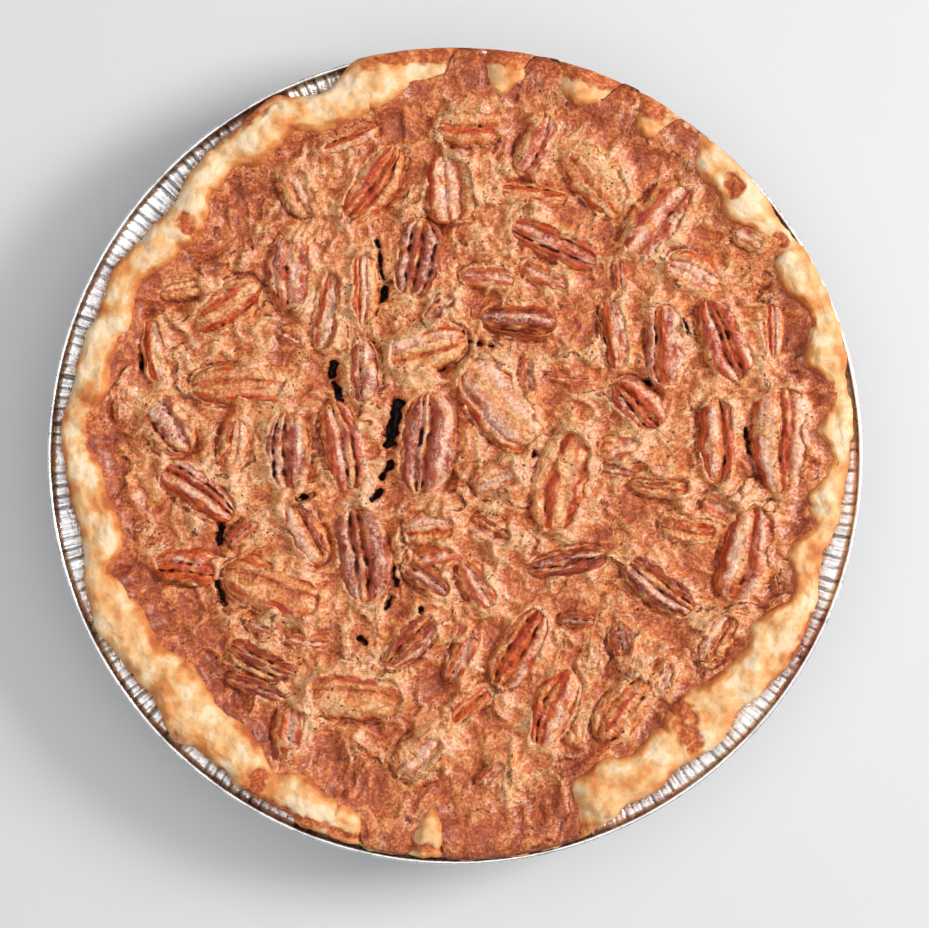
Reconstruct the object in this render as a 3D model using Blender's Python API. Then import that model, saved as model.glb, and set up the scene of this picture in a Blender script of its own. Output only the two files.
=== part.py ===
"""Pecan pie, whole and uncut, in its own foil tin.

Four kinds of piece, from the table up: a pleated foil tin with a ledge and a rolled rim, a pastry case with
a thick hand-crimped edge that lies on the ledge, the set filling with a pocket for every nut, and the pecan halves pressed into it.

Frame: +Z up, the origin on the underside of the tin, in the middle. Clock angles run clockwise from +Y.
Lengths are in millimetres up to the moment a mesh is made, which is in metres.
"""
import math
import random

import bpy
from mathutils import Vector

MM = 0.001
GAP = 0.3              # clearance between neighbouring solids
SHARP_ANGLE = 40.0     # degrees between faces beyond which an edge stays sharp

# --- foil tin ---
RIM_RADIUS = 120.0     # over the rolled rim
TIN_HEIGHT = 30.0
FLOOR_RADIUS = 89.0
FOIL = 0.2             # foil thickness
BEAD_RADIUS = 1.3      # of the rolled rim's section
WALL_RADIUS = 111.0    # where the wall turns out into the ledge under the pastry's edge
WALL_TOP = 26.2
LEDGE_RADIUS = 116.6   # where the ledge turns into the rolled rim
LEDGE_TOP = 27.6
PLEATS = 48
PLEAT_DEPTH = 0.7      # half the depth of a pleat, on the ledge

# --- pastry case ---
STATIONS = 96          # sections round the case, shared by the filling that it holds
CASE_THICKNESS = 3.4
NECK_HEIGHT = 26.0     # where the wall ends and the crimped edge begins, on the inside
SHOULDER_HEIGHT = 26.5 # and on the outside, just above the inner corner of the ledge
EDGE_SEAT = 30.4       # underside of the crimped edge, where it passes over the rim
EDGE_TOP = 36.4        # top of a well-risen crimp
SUNK_TOP = 32.6        # top of the edge where filling boiled over it
INNER_WALL_LIMIT = 106.8

# Each crimp or dip of the edge, clockwise: clock angle, outer radius, inner radius.
CRIMPS = [
    (0, 118.6, 112), (7, 118, 108), (12, 118.6, 114), (19, 120.5, 110), (25, 120, 114), (30, 121, 110),
    (36, 119.8, 114), (42, 120, 111), (49, 118.5, 107), (55, 117, 113.5), (63, 121, 109), (69, 119, 114),
    (74, 118.5, 107), (80, 116.5, 113), (86, 116.5, 108), (91, 115, 112), (96, 114, 105), (101, 113, 108),
    (106, 111, 102.5), (113, 114, 108), (119, 115, 100.5), (125, 114, 104), (131, 111.5, 100), (138, 114, 98),
    (144, 112, 100.5), (149, 114.5, 103), (154, 114, 100), (160, 117, 102), (167, 117.8, 113), (178, 118, 113),
    (184, 117, 105), (190, 117.5, 113), (197, 117, 109), (204, 116, 106), (208, 114.5, 104.5), (211, 115, 109),
    (216, 115, 101), (219, 112.5, 102.5), (225, 116.5, 102), (231, 113, 99.5), (238, 114, 104), (244, 116, 103.5),
    (250, 114.5, 107), (257, 111.5, 101), (266, 113.5, 104), (275, 115.5, 109), (280, 113.5, 104), (286, 114, 106),
    (292, 112.5, 103.5), (299, 114, 106.5), (306, 111.5, 101), (311, 110, 100), (317, 113.5, 104),
    (322, 115, 108), (327, 115, 103.5), (333, 118, 107.5), (339, 112.5, 103.5), (345, 115.5, 105), (353, 115, 109),
]
# Where the filling ran over the edge and weighed it down: first and last clock angle.
BOILOVERS = [(-4, 4), (10, 14), (23, 27), (34, 37), (162, 181), (187, 193)]
BOILOVER_FADE = 4.0    # degrees over which the edge sinks to its lower height

# --- filling ---
FLOOR_TOP = FOIL + GAP + CASE_THICKNESS
FILLING_TOP = EDGE_SEAT - 0.4
CASE_CLEARANCE = 0.4   # radial, so that the slanting notches keep the gap too

# --- pecans ---
# Place of the middle x, y, length, width, and turn of the long axis from +X, anticlockwise.
PECANS = [
    # upper left
    (-24, 80, 28, 13, 55), (-31, 93, 19, 7, 22), (-46, 78, 16, 11, -60), (-48, 54, 23, 14, 90),
    (-37, 43, 25, 8, 82), (-27, 50, 24, 9, 90), (-67, 44, 24, 14, 35), (-80, 50, 15, 8, 10),
    # left
    (-88, 31, 22, 8, 97), (-84, 9, 19, 15, -55), (-75, -10, 27, 12, -35), (-79, -32, 20, 11, -5),
    (-63, 21, 30, 13, 0), (-65, 4, 17, 9, 80), (-49, 2, 25, 14, 90), (-33, 3, 28, 13, 102),
    # top middle and middle
    (-27, 25, 20, 11, 92), (-8.5, 31.5, 25, 14, 15), (-11, 58, 24, 14, 80), (-1, 79, 21, 17, 95),
    (4, 97, 20, 12, 0), (24, 92, 20, 11, 66), (23, 77, 23, 7, -8), (42, 82, 26, 16, -50),
    (29, 63, 30, 10, -23), (19, 40, 24, 11, -5), (13, 16, 33, 19, -50), (-8, 4, 32, 17, 84),
    # right
    (47, 36, 22, 9, 98), (62, 33, 27, 12, 93), (79, 34, 27, 14, 112), (93, 37, 18, 8, 92),
    (54, 15, 20, 12, -48), (77, 5, 27, 12, 92), (96, 5, 35, 17, 90), (32, -7, 33, 17, 76),
    (61, -8, 20, 9, -6), (33, -31, 25, 9, 11), (59.5, 69.5, 29, 15, 50), (70, 54, 18, 12, -25),
    # lower right
    (86, -28, 31, 16, 78), (60, -38, 26, 12, -38), (69, -21, 18, 10, -8), (77, -53, 19, 11, 60),
    (29, -74, 26, 13, 68), (50, -74, 24, 14, 52), (19, -56, 27, 13, 60),
    # lower left
    (-27, -29, 30, 16, 98), (-44, -22, 21, 11, 118), (-53, -39, 32, 16, -20), (-57, -60, 24, 9, -26),
    (-29, -70, 32, 16, -5), (-10, -87, 19, 13, 45), (4, -73, 17, 8, 40), (-13, -54, 21, 10, 45),
    (-7, -21, 17, 10, 5), (11, -22, 15, 9, -25),
]
HALF_HEIGHT = 0.44     # a half's height in its own widths
SHOULDER = 0.34        # height of the widest line, as a share of the half's height
SINK = 0.5             # share of a half's height that is under the filling's surface
TILT = 5.0             # degrees, the most that a half lies off level
# Along the half: place from end to end, share of the full width, share of the full height.
LENGTHWISE = [(-1.0, 0.42, 0.5), (-0.5, 1.0, 1.0), (0.4, 1.0, 1.0), (1.0, 0.32, 0.45)]
# Across the half, from side to side over the top: share of half the width, share of the height.
ACROSS = [(-1.0, SHOULDER), (-0.62, 0.92), (-0.34, 0.74), (0.0, 1.0), (0.34, 0.74), (0.62, 0.92), (1.0, SHOULDER)]
UNDERSIDE = 0.8        # width of the flat underside, as a share of the widest line


def clear_scene():
    """Remove whatever the scene holds at the start."""
    for thing in list(bpy.data.objects):
        bpy.data.objects.remove(thing, do_unlink=True)


def make_material(name, colour, roughness, metallic=0.0):
    """A Principled material of one colour."""
    material = bpy.data.materials.new(name)
    material.use_nodes = True
    shader = material.node_tree.nodes["Principled BSDF"]
    shader.inputs["Base Color"].default_value = (*colour, 1.0)
    shader.inputs["Roughness"].default_value = roughness
    shader.inputs["Metallic"].default_value = metallic
    return material


def add_object(name, points, faces, material):
    """An object from points in millimetres, smooth but for its sharp edges."""
    mesh = bpy.data.meshes.new(name)
    mesh.from_pydata([Vector(point) * MM for point in points], [], faces)
    mesh.materials.append(material)
    mesh.shade_smooth()
    mesh.set_sharp_from_angle(angle=math.radians(SHARP_ANGLE))
    thing = bpy.data.objects.new(name, mesh)
    bpy.context.scene.collection.objects.link(thing)
    return thing


def polar(clock, radius, height):
    """The point at a clock angle in degrees, a radius and a height."""
    turn = math.radians(clock)
    return (radius * math.sin(turn), radius * math.cos(turn), height)


def stack(rings):
    """Points and faces of a closed body whose skin runs through the rings and is capped at both ends.

    Every ring has the same number of points, clockwise. The first ring bounds the underside. Between two
    rings each gap is two triangles, split from the lower ring's earlier point to the upper ring's later
    one, so that two skins that follow each other are split alike.
    """
    count = len(rings[0])
    points = [point for ring in rings for point in ring]
    faces = [tuple(range(count))]
    for row, (ring, following) in enumerate(zip(rings, rings[1:])):
        start = row * count
        rises = sum(point[2] for point in following) >= sum(point[2] for point in ring)
        for here in range(count):
            later = (here + 1) % count
            a, b = start + here, start + later
            c, d = b + count, a + count
            if rises:
                faces += [(a, c, b), (a, d, c)]
            else:
                faces += [(a, d, b), (b, d, c)]
    last = (len(rings) - 1) * count
    faces.append(tuple(last + here for here in reversed(range(count))))
    return points, faces


def around(clock, column):
    """A column of CRIMPS at a clock angle, eased from one crimp to the next."""
    clock %= 360.0
    rows = CRIMPS + [(CRIMPS[0][0] + 360, *CRIMPS[0][1:])]
    for before, after in zip(rows, rows[1:]):
        if clock <= after[0]:
            share = (clock - before[0]) / (after[0] - before[0])
            ease = 0.5 - 0.5 * math.cos(math.pi * share)
            return before[column] + (after[column] - before[column]) * ease
    return rows[0][column]


def sunkenness(clock):
    """How far the edge has sunk under boiled-over filling: 0 not at all, 1 fully."""
    most = 0.0
    for first, last in BOILOVERS:
        middle = (first + last) / 2
        off = abs((clock - middle + 180.0) % 360.0 - 180.0) - (last - first) / 2
        most = max(most, min(1.0, 1.0 - off / BOILOVER_FADE))
    return most


def edge_top(clock):
    """Height of the crimped edge: thick crimps rise the most."""
    thickness = around(clock, 1) - around(clock, 2)
    risen = SUNK_TOP + (EDGE_TOP - SUNK_TOP) * min(1.0, thickness / 11.0)
    return risen + (SUNK_TOP - risen) * sunkenness(clock)


def foil_radius(height):
    """Radius of the foil wall's inner side at a height, at the bottom of a pleat."""
    share = (height - FOIL) / WALL_TOP
    return FLOOR_RADIUS - FOIL + share * (WALL_RADIUS - FLOOR_RADIUS - 0.5 * PLEAT_DEPTH)


def ledge_height(radius):
    """Height of the ledge's top side at a radius."""
    share = (radius - WALL_RADIUS) / (LEDGE_RADIUS - WALL_RADIUS)
    return WALL_TOP + FOIL + share * (LEDGE_TOP - WALL_TOP)


def neck_radius(clock):
    """Inner radius of the case where its wall meets the crimped edge."""
    return min(around(clock, 2) - 0.6, INNER_WALL_LIMIT)


def make_tin(material):
    """The foil tin: flat floor, pleated sloping wall, narrow ledge and rolled rim."""
    columns = 2 * PLEATS
    bead_radius = RIM_RADIUS - BEAD_RADIUS
    bead_height = TIN_HEIGHT - BEAD_RADIUS
    lower = BEAD_RADIUS * math.sin(math.radians(45.0))
    profile = [                                   # radius, height, share of the pleats' depth
        (FLOOR_RADIUS, 0.0, 0.0),
        (WALL_RADIUS, WALL_TOP, 0.5),
        (LEDGE_RADIUS, LEDGE_TOP, 1.0),
        (bead_radius, bead_height - BEAD_RADIUS, 0.2),
        (RIM_RADIUS, bead_height, 0.0),
        (bead_radius, TIN_HEIGHT, 0.0),
        (bead_radius - lower, bead_height + lower, 0.0),
        (LEDGE_RADIUS - FOIL, LEDGE_TOP + FOIL, 1.0),
        (WALL_RADIUS - FOIL, WALL_TOP + FOIL, 0.5),
        (FLOOR_RADIUS - FOIL, FOIL, 0.0),
    ]
    rings = []
    for radius, height, share in profile:
        ring = []
        for column in range(columns):
            pleat = PLEAT_DEPTH * share * (-1) ** column
            ring.append(polar(360.0 * column / columns, radius + pleat, height))
        rings.append(ring)
    return add_object("tin", *stack(rings), material)


def make_crust(material):
    """The pastry case: floor, sloping wall and the thick crimped edge that lies on the ledge."""
    base = FLOOR_RADIUS - FOIL - 2 * GAP
    rings = [[] for _ in range(10)]
    for station in range(STATIONS):
        clock = 360.0 * station / STATIONS
        outer = around(clock, 1)
        inner = around(clock, 2)
        width = outer - inner
        top = edge_top(clock)
        foot = min(outer - 1.2, 112.8)
        seat = min(outer - 0.8, 114.3)
        section = [
            (base, FOIL + GAP),
            (min(outer - 1.8, foil_radius(SHOULDER_HEIGHT) - 3 * GAP), SHOULDER_HEIGHT),
            (foot, ledge_height(foot) + 2 * GAP),
            (seat, EDGE_SEAT),
            (outer, EDGE_SEAT + 0.4 * (top - EDGE_SEAT)),
            (outer - 0.22 * width, top - 0.5),
            (outer - 0.55 * width, top),
            (inner, FILLING_TOP),
            (neck_radius(clock), NECK_HEIGHT),
            (base - CASE_THICKNESS, FLOOR_TOP),
        ]
        for ring, (radius, height) in zip(rings, section):
            ring.append(polar(clock, radius, height))
    return add_object("crust", *stack(rings), material)


def make_filling(material, cutters):
    """The set filling, level and out to the case on all sides, with a pocket under every nut."""
    rings = [[] for _ in range(3)]
    for station in range(STATIONS):
        clock = 360.0 * station / STATIONS
        rim = around(clock, 2) - CASE_CLEARANCE
        neck = neck_radius(clock) - CASE_CLEARANCE
        base = FLOOR_RADIUS - FOIL - 2 * GAP - CASE_THICKNESS - CASE_CLEARANCE
        section = [(base, FLOOR_TOP + GAP), (neck, NECK_HEIGHT), (rim, FILLING_TOP)]
        for ring, (radius, height) in zip(rings, section):
            ring.append(polar(clock, radius, height))
    filling = add_object("filling", *stack(rings), material)
    pockets = filling.modifiers.new("pockets", "BOOLEAN")
    pockets.operation = "DIFFERENCE"
    pockets.operand_type = "COLLECTION"
    pockets.collection = cutters
    pockets.solver = "EXACT"
    return filling


def pecan_outline(length, width, grow=0.0):
    """Half the width of a nut at each place along it, and that place, both grown by a margin."""
    return [(place * (0.5 * length + grow), share * 0.5 * width + grow) for place, share, _ in LENGTHWISE]


def pecan_body(length, width, height):
    """Points and faces of a half: a flat underside, a widest line, and two grooves along its back."""
    points = []
    for (along, half), (_, _, lift) in zip(pecan_outline(length, width), LENGTHWISE):
        points.append((along, -UNDERSIDE * half, 0.0))
        points += [(along, across * half, rise * lift * height) for across, rise in ACROSS]
        points.append((along, UNDERSIDE * half, 0.0))
    count = len(ACROSS) + 2
    faces = [tuple(range(count))]
    for row in range(len(LENGTHWISE) - 1):
        for here in range(count):
            a, b = row * count + here, row * count + (here + 1) % count
            faces.append((a, a + count, b + count, b))
    last = (len(LENGTHWISE) - 1) * count
    faces.append(tuple(last + here for here in reversed(range(count))))
    return points, faces


def pocket_body(length, width, height):
    """Points and faces of the straight-sided cutter that leaves the gap all round a half."""
    outline = pecan_outline(length, width, GAP)
    loop = [(along, -half) for along, half in outline] + [(along, half) for along, half in reversed(outline)]
    count = len(loop)
    points = [(x, y, -GAP) for x, y in loop] + [(x, y, height) for x, y in loop]
    faces = [tuple(reversed(range(count))), tuple(range(count, 2 * count))]
    for here in range(count):
        later = (here + 1) % count
        faces.append((here, later, later + count, here + count))
    return points, faces


def make_pecans(material, cutters):
    """Every half in its place, and the cutter of its pocket at the same place."""
    wobble = random.Random(7)
    for number, (x, y, length, width, turn) in enumerate(PECANS, start=1):
        height = HALF_HEIGHT * min(width, 14.0) + 1.4
        place = Vector((x, y, FILLING_TOP - SINK * height)) * MM
        tilt = [math.radians(wobble.uniform(-TILT, TILT)) for _ in range(2)]
        rotation = (tilt[0], tilt[1], math.radians(turn))
        nut = add_object(f"pecan_{number:02d}", *pecan_body(length, width, height), material)
        cutter = add_object(f"pocket_{number:02d}", *pocket_body(length, width, 3 * height), material)
        cutter.hide_render = True
        cutter.display_type = "WIRE"
        cutters.objects.link(cutter)
        for thing in (nut, cutter):
            thing.location = place
            thing.rotation_euler = rotation


def main():
    clear_scene()
    foil = make_material("foil", (0.78, 0.78, 0.79), 0.28, metallic=1.0)
    pastry = make_material("pastry", (0.83, 0.56, 0.29), 0.72)
    custard = make_material("custard", (0.50, 0.17, 0.06), 0.35)
    nut = make_material("nut", (0.42, 0.13, 0.05), 0.42)
    cutters = bpy.data.collections.new("pockets")
    bpy.context.scene.collection.children.link(cutters)
    make_tin(foil)
    make_crust(pastry)
    make_pecans(nut, cutters)
    make_filling(custard, cutters)


main()
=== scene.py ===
# %% [markdown]
# # A pecan pie in its foil tin
# A baked pie is four things with very different surfaces: bright crinkled foil, dry pale pastry, a frothy
# caramel filling, and ribbed nuts half drowned in it. This lesson makes each of them as a surface worked out
# with numpy, around solids that already have the right places and sizes.

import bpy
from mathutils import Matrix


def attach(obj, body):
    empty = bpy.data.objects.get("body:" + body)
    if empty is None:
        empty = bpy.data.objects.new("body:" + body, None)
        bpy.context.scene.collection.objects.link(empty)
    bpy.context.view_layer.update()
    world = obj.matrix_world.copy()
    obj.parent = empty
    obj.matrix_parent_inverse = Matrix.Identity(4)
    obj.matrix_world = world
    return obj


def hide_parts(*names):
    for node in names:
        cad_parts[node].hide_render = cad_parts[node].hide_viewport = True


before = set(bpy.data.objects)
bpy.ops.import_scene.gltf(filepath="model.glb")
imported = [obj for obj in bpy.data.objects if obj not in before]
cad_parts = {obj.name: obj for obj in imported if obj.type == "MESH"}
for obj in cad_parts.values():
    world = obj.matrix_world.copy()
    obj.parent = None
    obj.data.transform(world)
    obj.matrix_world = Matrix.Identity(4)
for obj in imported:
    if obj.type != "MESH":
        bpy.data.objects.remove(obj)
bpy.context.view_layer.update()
print("the frame holds", len(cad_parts), "solids")

# %% Modules and the unit
import math

import bpy
import numpy as np

MM = 0.001             # the frame is in metres; shapes below are worked out in millimetres
TURN = 2 * np.pi

# %% [markdown]
# ## Reading the solids
# Every place in this scene comes from the solids. A solid's corners give the tin's floor and rim, the
# outline of the crust at each of its sections, and the place, heading, length and width of every nut.


# %% Corners of a solid
def corners(name):
    """The corners of a solid in millimetres, one row for each: x, y, z."""
    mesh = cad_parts[name].data
    flat = np.empty(3 * len(mesh.vertices))
    mesh.vertices.foreach_get("co", flat)
    return flat.reshape(-1, 3) / MM


def clock_of(x, y):
    """The clock angle of a point, in radians from +Y and clockwise, from 0 up to a full turn."""
    return np.arctan2(x, y) % TURN


tin_corners = corners("tin")
RIM_RADIUS = np.hypot(tin_corners[:, 0], tin_corners[:, 1]).max()
TIN_HEIGHT = tin_corners[:, 2].max()
on_floor = tin_corners[:, 2] < 0.01
FLOOR_RADIUS = np.hypot(tin_corners[on_floor, 0], tin_corners[on_floor, 1]).max()
FILLING_TOP = corners("filling")[:, 2].max()
print(f"tin {2 * RIM_RADIUS:.0f} mm over the rim, {TIN_HEIGHT:.0f} high; filling up to {FILLING_TOP:.1f}")

# %% Outline of the crust at each section
STATIONS = 96          # sections that the crust solid has


def crust_outline():
    """Outer radius, inner radius and top at each section: the furthest corner, the one level with the
    filling on the inside, and the highest."""
    spots = corners("crust")
    radius = np.hypot(spots[:, 0], spots[:, 1])
    station = np.rint(clock_of(spots[:, 0], spots[:, 1]) / TURN * STATIONS).astype(int) % STATIONS
    outer, inner, top = (np.zeros(STATIONS) for _ in range(3))
    level = np.abs(spots[:, 2] - FILLING_TOP) < 0.02
    for here in range(STATIONS):
        mine = station == here
        outer[here] = radius[mine].max()
        inner[here] = radius[mine & level].min()
        top[here] = spots[mine, 2].max()
    return outer, inner, top


outer_stations, inner_stations, top_stations = crust_outline()
print(f"crust {outer_stations.min():.0f} to {outer_stations.max():.0f} mm out, "
      f"{inner_stations.min():.0f} to {inner_stations.max():.0f} mm in")


# %% A smooth closed curve through the sections
def round_curve(values, clock):
    """Values at equal steps round the clock, read at any angle through a Catmull-Rom curve: a cubic
    through each pair of neighbours whose slopes point from the neighbour before to the neighbour after."""
    count = len(values)
    place = clock / TURN * count
    first = np.floor(place).astype(int)
    t = place - first
    before, here, there, after = (values[(first + step) % count] for step in (-1, 0, 1, 2))
    slope_here, slope_there = 0.5 * (there - before), 0.5 * (after - here)
    rise = there - here
    return here + t * (slope_here + t * ((3 * rise - 2 * slope_here - slope_there)
                                         + t * (slope_here + slope_there - 2 * rise)))


# %% [markdown]
# ## Unevenness
# Nothing on a pie is regular. One smooth noise, worked out on whole arrays at once, gives the swells of the
# filling, the lumps of the crust and the wandering of the grooves in a nut.


# %% Smooth noise
def ripple(x, y, seed):
    """Smooth noise from about -1 to 1. Every whole-number corner holds a slope in a random direction, and
    the four slopes round a point are blended by a curve that is flat at both ends."""
    turns = np.random.default_rng(seed).uniform(0, TURN, (64, 64))
    column, row = np.floor(x).astype(int), np.floor(y).astype(int)
    dx, dy = x - column, y - row

    def slope(right, up):
        turn = turns[(column + right) % 64, (row + up) % 64]
        return np.cos(turn) * (dx - right) + np.sin(turn) * (dy - up)

    ease_x, ease_y = (d * d * d * (d * (6 * d - 15) + 10) for d in (dx, dy))
    low = slope(0, 0) * (1 - ease_x) + slope(1, 0) * ease_x
    high = slope(0, 1) * (1 - ease_x) + slope(1, 1) * ease_x
    return 1.5 * (low * (1 - ease_y) + high * ease_y)


def layered(x, y, seed, layers=3):
    """Noise on noise: each layer is twice as fine and half as strong as the one before."""
    return sum(ripple(x * 2 ** n, y * 2 ** n, seed + n) / 2 ** n for n in range(layers))


def ease(value, low, high):
    """0 below low, 1 above high, and a smooth S between them."""
    share = np.clip((value - low) / (high - low), 0, 1)
    return share * share * (3 - 2 * share)


print("noise at one spot:", round(float(ripple(np.array([0.4]), np.array([0.7]), 1)[0]), 3))


# %% Where filling and crust meet
def border(clock):
    """Radius at which the filling meets the crust: the solid's inner outline, which wanders a little, with
    a few sharp bites outwards where a noise crosses 0."""
    x, y = 104 * np.sin(clock), 104 * np.cos(clock)
    wander = 0.9 * layered(x / 13, y / 13, 201, 2) + 0.35 * layered(x / 3, y / 3, 202, 2)
    bites = ease(1 - np.abs(ripple(x / 11, y / 11, 203)) * 9, 0.0, 1.0) * ease(ripple(x / 19, y / 19, 204), -0.1, 0.4)
    return round_curve(inner_stations, clock) + wander + 1.8 * bites


print("border at the top:", np.round(border(np.radians(np.array([0.0, 10.0, 20.0]))), 1))


# %% Place of every nut
def nut_place(name):
    """A nut's middle, the direction of its long axis, its length and width, and its lowest and highest
    point. The long axis is the direction in which its corners spread the most. The one across it points
    right, or up where the nut lies within about 30 degrees of level."""
    spots = np.unique(corners(name).round(3), axis=0)
    middle = (spots[:, :2].max(0) + spots[:, :2].min(0)) / 2
    spread = spots[:, :2] - spots[:, :2].mean(0)
    along = np.linalg.eigh(spread.T @ spread)[1][:, 1]
    along = along if along[0] >= 0 else -along
    across = np.array([-along[1], along[0]])
    across = across if across @ (1.0, 0.6) > 0 else -across
    length, width = np.ptp(spots[:, :2] @ along), np.ptp(spots[:, :2] @ across)
    middle = (along * ((spots[:, :2] @ along).max() + (spots[:, :2] @ along).min())
              + across * ((spots[:, :2] @ across).max() + (spots[:, :2] @ across).min())) / 2
    return {"name": name, "middle": middle, "along": along, "across": across, "length": length,
            "width": width, "low": spots[:, 2].min(), "high": spots[:, 2].max()}


nuts = [nut_place(name) for name in sorted(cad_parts) if name.startswith("pecan_")]
print(len(nuts), "nuts,", f"{min(n['length'] for n in nuts):.0f} to {max(n['length'] for n in nuts):.0f} mm long")

# %% How each nut looks
# Height of the dried coat from 0, bare, to 1, drowned. Then places across the nut, from -1 at its left or
# lower side to 1 at the other: grooves, whose slots get painted shade, red bands of skin, and pale bands of
# painted highlight. Last its tone, and the side on which the filling has cracked away from it.
NUT_LOOKS = {
    "01": (0.45, [-0.05, 0.40], [-0.35, 0.15], [], "red", "E"),
    "02": (0.40, [0.45], [0.20], [-0.20], "red", "N"),
    "03": (0.85, [], [-0.20], [0.10], "orange", "SW"),
    "04": (0.50, [-0.60, -0.15], [-0.80, -0.30, 0.50], [-0.45, 0.10, 0.35], "red", "W"),
    "05": (0.40, [0.35], [-0.50, 0.60], [0.00, 0.20], "red", "W"),
    "06": (0.55, [], [-0.45], [0.15], "orange", "E"),
    "07": (0.60, [0.50], [-0.30, 0.40], [], "red", "NE"),
    "08": (0.90, [], [], [], "orange", "S"),
    "09": (0.50, [-0.60], [-0.35], [0.20], "orange", "W"),
    "10": (0.50, [-0.45, 0.30], [-0.30, 0.40], [-0.10, 0.20], "grey", "S"),
    "11": (0.30, [0.05, 0.40], [-0.60, 0.20], [-0.25, 0.55], "red", "SW"),
    "12": (0.30, [0.10, -0.35], [0.50, -0.10, -0.60], [0.25], "orange", "S"),
    "13": (0.70, [0.15], [-0.60], [], "orange", "W"),
    "14": (0.65, [], [-0.40], [0.40], "red", "W"),
    "15": (0.35, [-0.52, -0.12], [-0.95, 0.18], [-0.70, -0.33, 0.50], "grey", "E"),
    "16": (0.35, [-0.05, 0.35], [-0.50, 0.50], [-0.22, 0.75], "red", "W"),
    "17": (0.40, [0.70, -0.15], [-0.40], [0.00, 0.45], "grey", "E"),
    "18": (0.75, [], [0.70], [0.40], "red", "E"),
    "19": (0.20, [-0.45, 0.02, 0.55], [-0.80, 0.25, 0.75], [-0.62, 0.42], "grey", "N"),
    "20": (0.60, [], [-0.75, 0.75], [-0.30, -0.05], "red", "S"),
    "21": (0.55, [0.05], [-0.22], [], "orange", "S"),
    "22": (0.40, [0.18], [-0.15, 0.32], [0.05, 0.50], "red", "W"),
    "23": (0.50, [0.55], [0.30], [], "red", "N"),
    "24": (0.85, [-0.45], [-0.85], [], "orange", "SW"),
    "25": (0.30, [0.35, -0.40], [-0.60, 0.00, 0.60], [0.10, -0.20], "red", "S"),
    "26": (0.20, [-0.55], [-0.80, 0.00, 0.50], [0.15], "dark", "S"),
    "27": (0.75, [-0.60], [-0.85], [-0.45, 0.50], "red", "SW"),
    "28": (0.25, [-0.02, -0.28], [-0.62, 0.18], [-0.40, 0.45, 0.75], "grey", "E"),
    "29": (0.25, [-0.80], [-0.45], [0.12, 0.45], "red", "W"),
    "30": (0.30, [-0.58], [-0.20], [-0.80, 0.25, 0.60], "red", "W"),
    "31": (0.30, [-0.10, 0.18], [-0.55, 0.05, 0.38], [-0.30, 0.70], "red", "W"),
    "32": (0.60, [], [-0.10], [0.45], "orange", "E"),
    "33": (0.25, [-0.38, 0.00], [-0.70, -0.15, 0.30], [-0.52, 0.72], "red", "N"),
    "34": (0.35, [0.28], [-0.75, 0.55], [-0.25, 0.85], "red", "W"),
    "35": (0.60, [0.00, 0.28], [-0.85, 0.12], [-0.55, 0.65], "red", "W"),
    "36": (0.65, [-0.40], [-0.22, 0.55], [], "red", "W"),
    "37": (0.65, [0.30, -0.35], [0.00], [], "dark", "SW"),
    "38": (0.10, [0.00], [-0.50, 0.45], [0.20], "dark", "N"),
    "39": (0.50, [0.28], [-0.40, 0.35], [-0.10, 0.10, 0.55], "red", "NW"),
    "40": (0.65, [], [0.70], [-0.30, 0.10], "orange", "N"),
    "41": (0.50, [0.02], [-0.75, 0.18], [-0.45, 0.38], "red", "W"),
    "42": (0.40, [-0.10, 0.25], [0.55, -0.60], [-0.32], "dark", "SW"),
    "43": (0.60, [], [0.10], [], "red", "W"),
    "44": (0.60, [0.30, -0.60], [0.00], [-0.30], "grey", "S"),
    "45": (0.40, [-0.35], [0.05, -0.70], [0.45], "red", "E"),
    "46": (0.65, [0.35, -0.50], [-0.10], [], "orange", "W"),
    "47": (0.35, [-0.38, 0.25], [-0.15, 0.10], [0.70], "red", "SW"),
    "48": (0.15, [-0.30, 0.02], [-0.72, 0.35], [-0.50, 0.50, 0.80], "grey", "E"),
    "49": (0.55, [0.30], [-0.70, 0.55], [-0.30], "grey", "E"),
    "50": (0.70, [0.30], [0.75, -0.50], [], "red", "W"),
    "51": (0.30, [-0.50, 0.30], [-0.10, 0.60], [], "dark", "SW"),
    "52": (0.70, [0.10], [0.45], [], "red", "S"),
    "53": (0.90, [], [], [0.00], "orange", "W"),
    "54": (0.50, [0.10], [-0.25, 0.40], [], "orange", "E"),
    "55": (0.30, [-0.10], [0.35, -0.50], [0.80], "grey", "S"),
    "56": (0.70, [], [-0.20], [0.35], "orange", "W"),
    "57": (0.50, [0.00], [0.50], [-0.50], "dark", "N"),
}
FACE_DOWN = "20"       # the one that shows its flat side
LOOK_PARTS = ("coat", "grooves", "reds", "pales", "tone", "crack")
for nut in nuts:
    nut.update(zip(LOOK_PARTS, NUT_LOOKS[nut["name"][-2:]]))
print("looks given to", len(NUT_LOOKS), "nuts")

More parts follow.
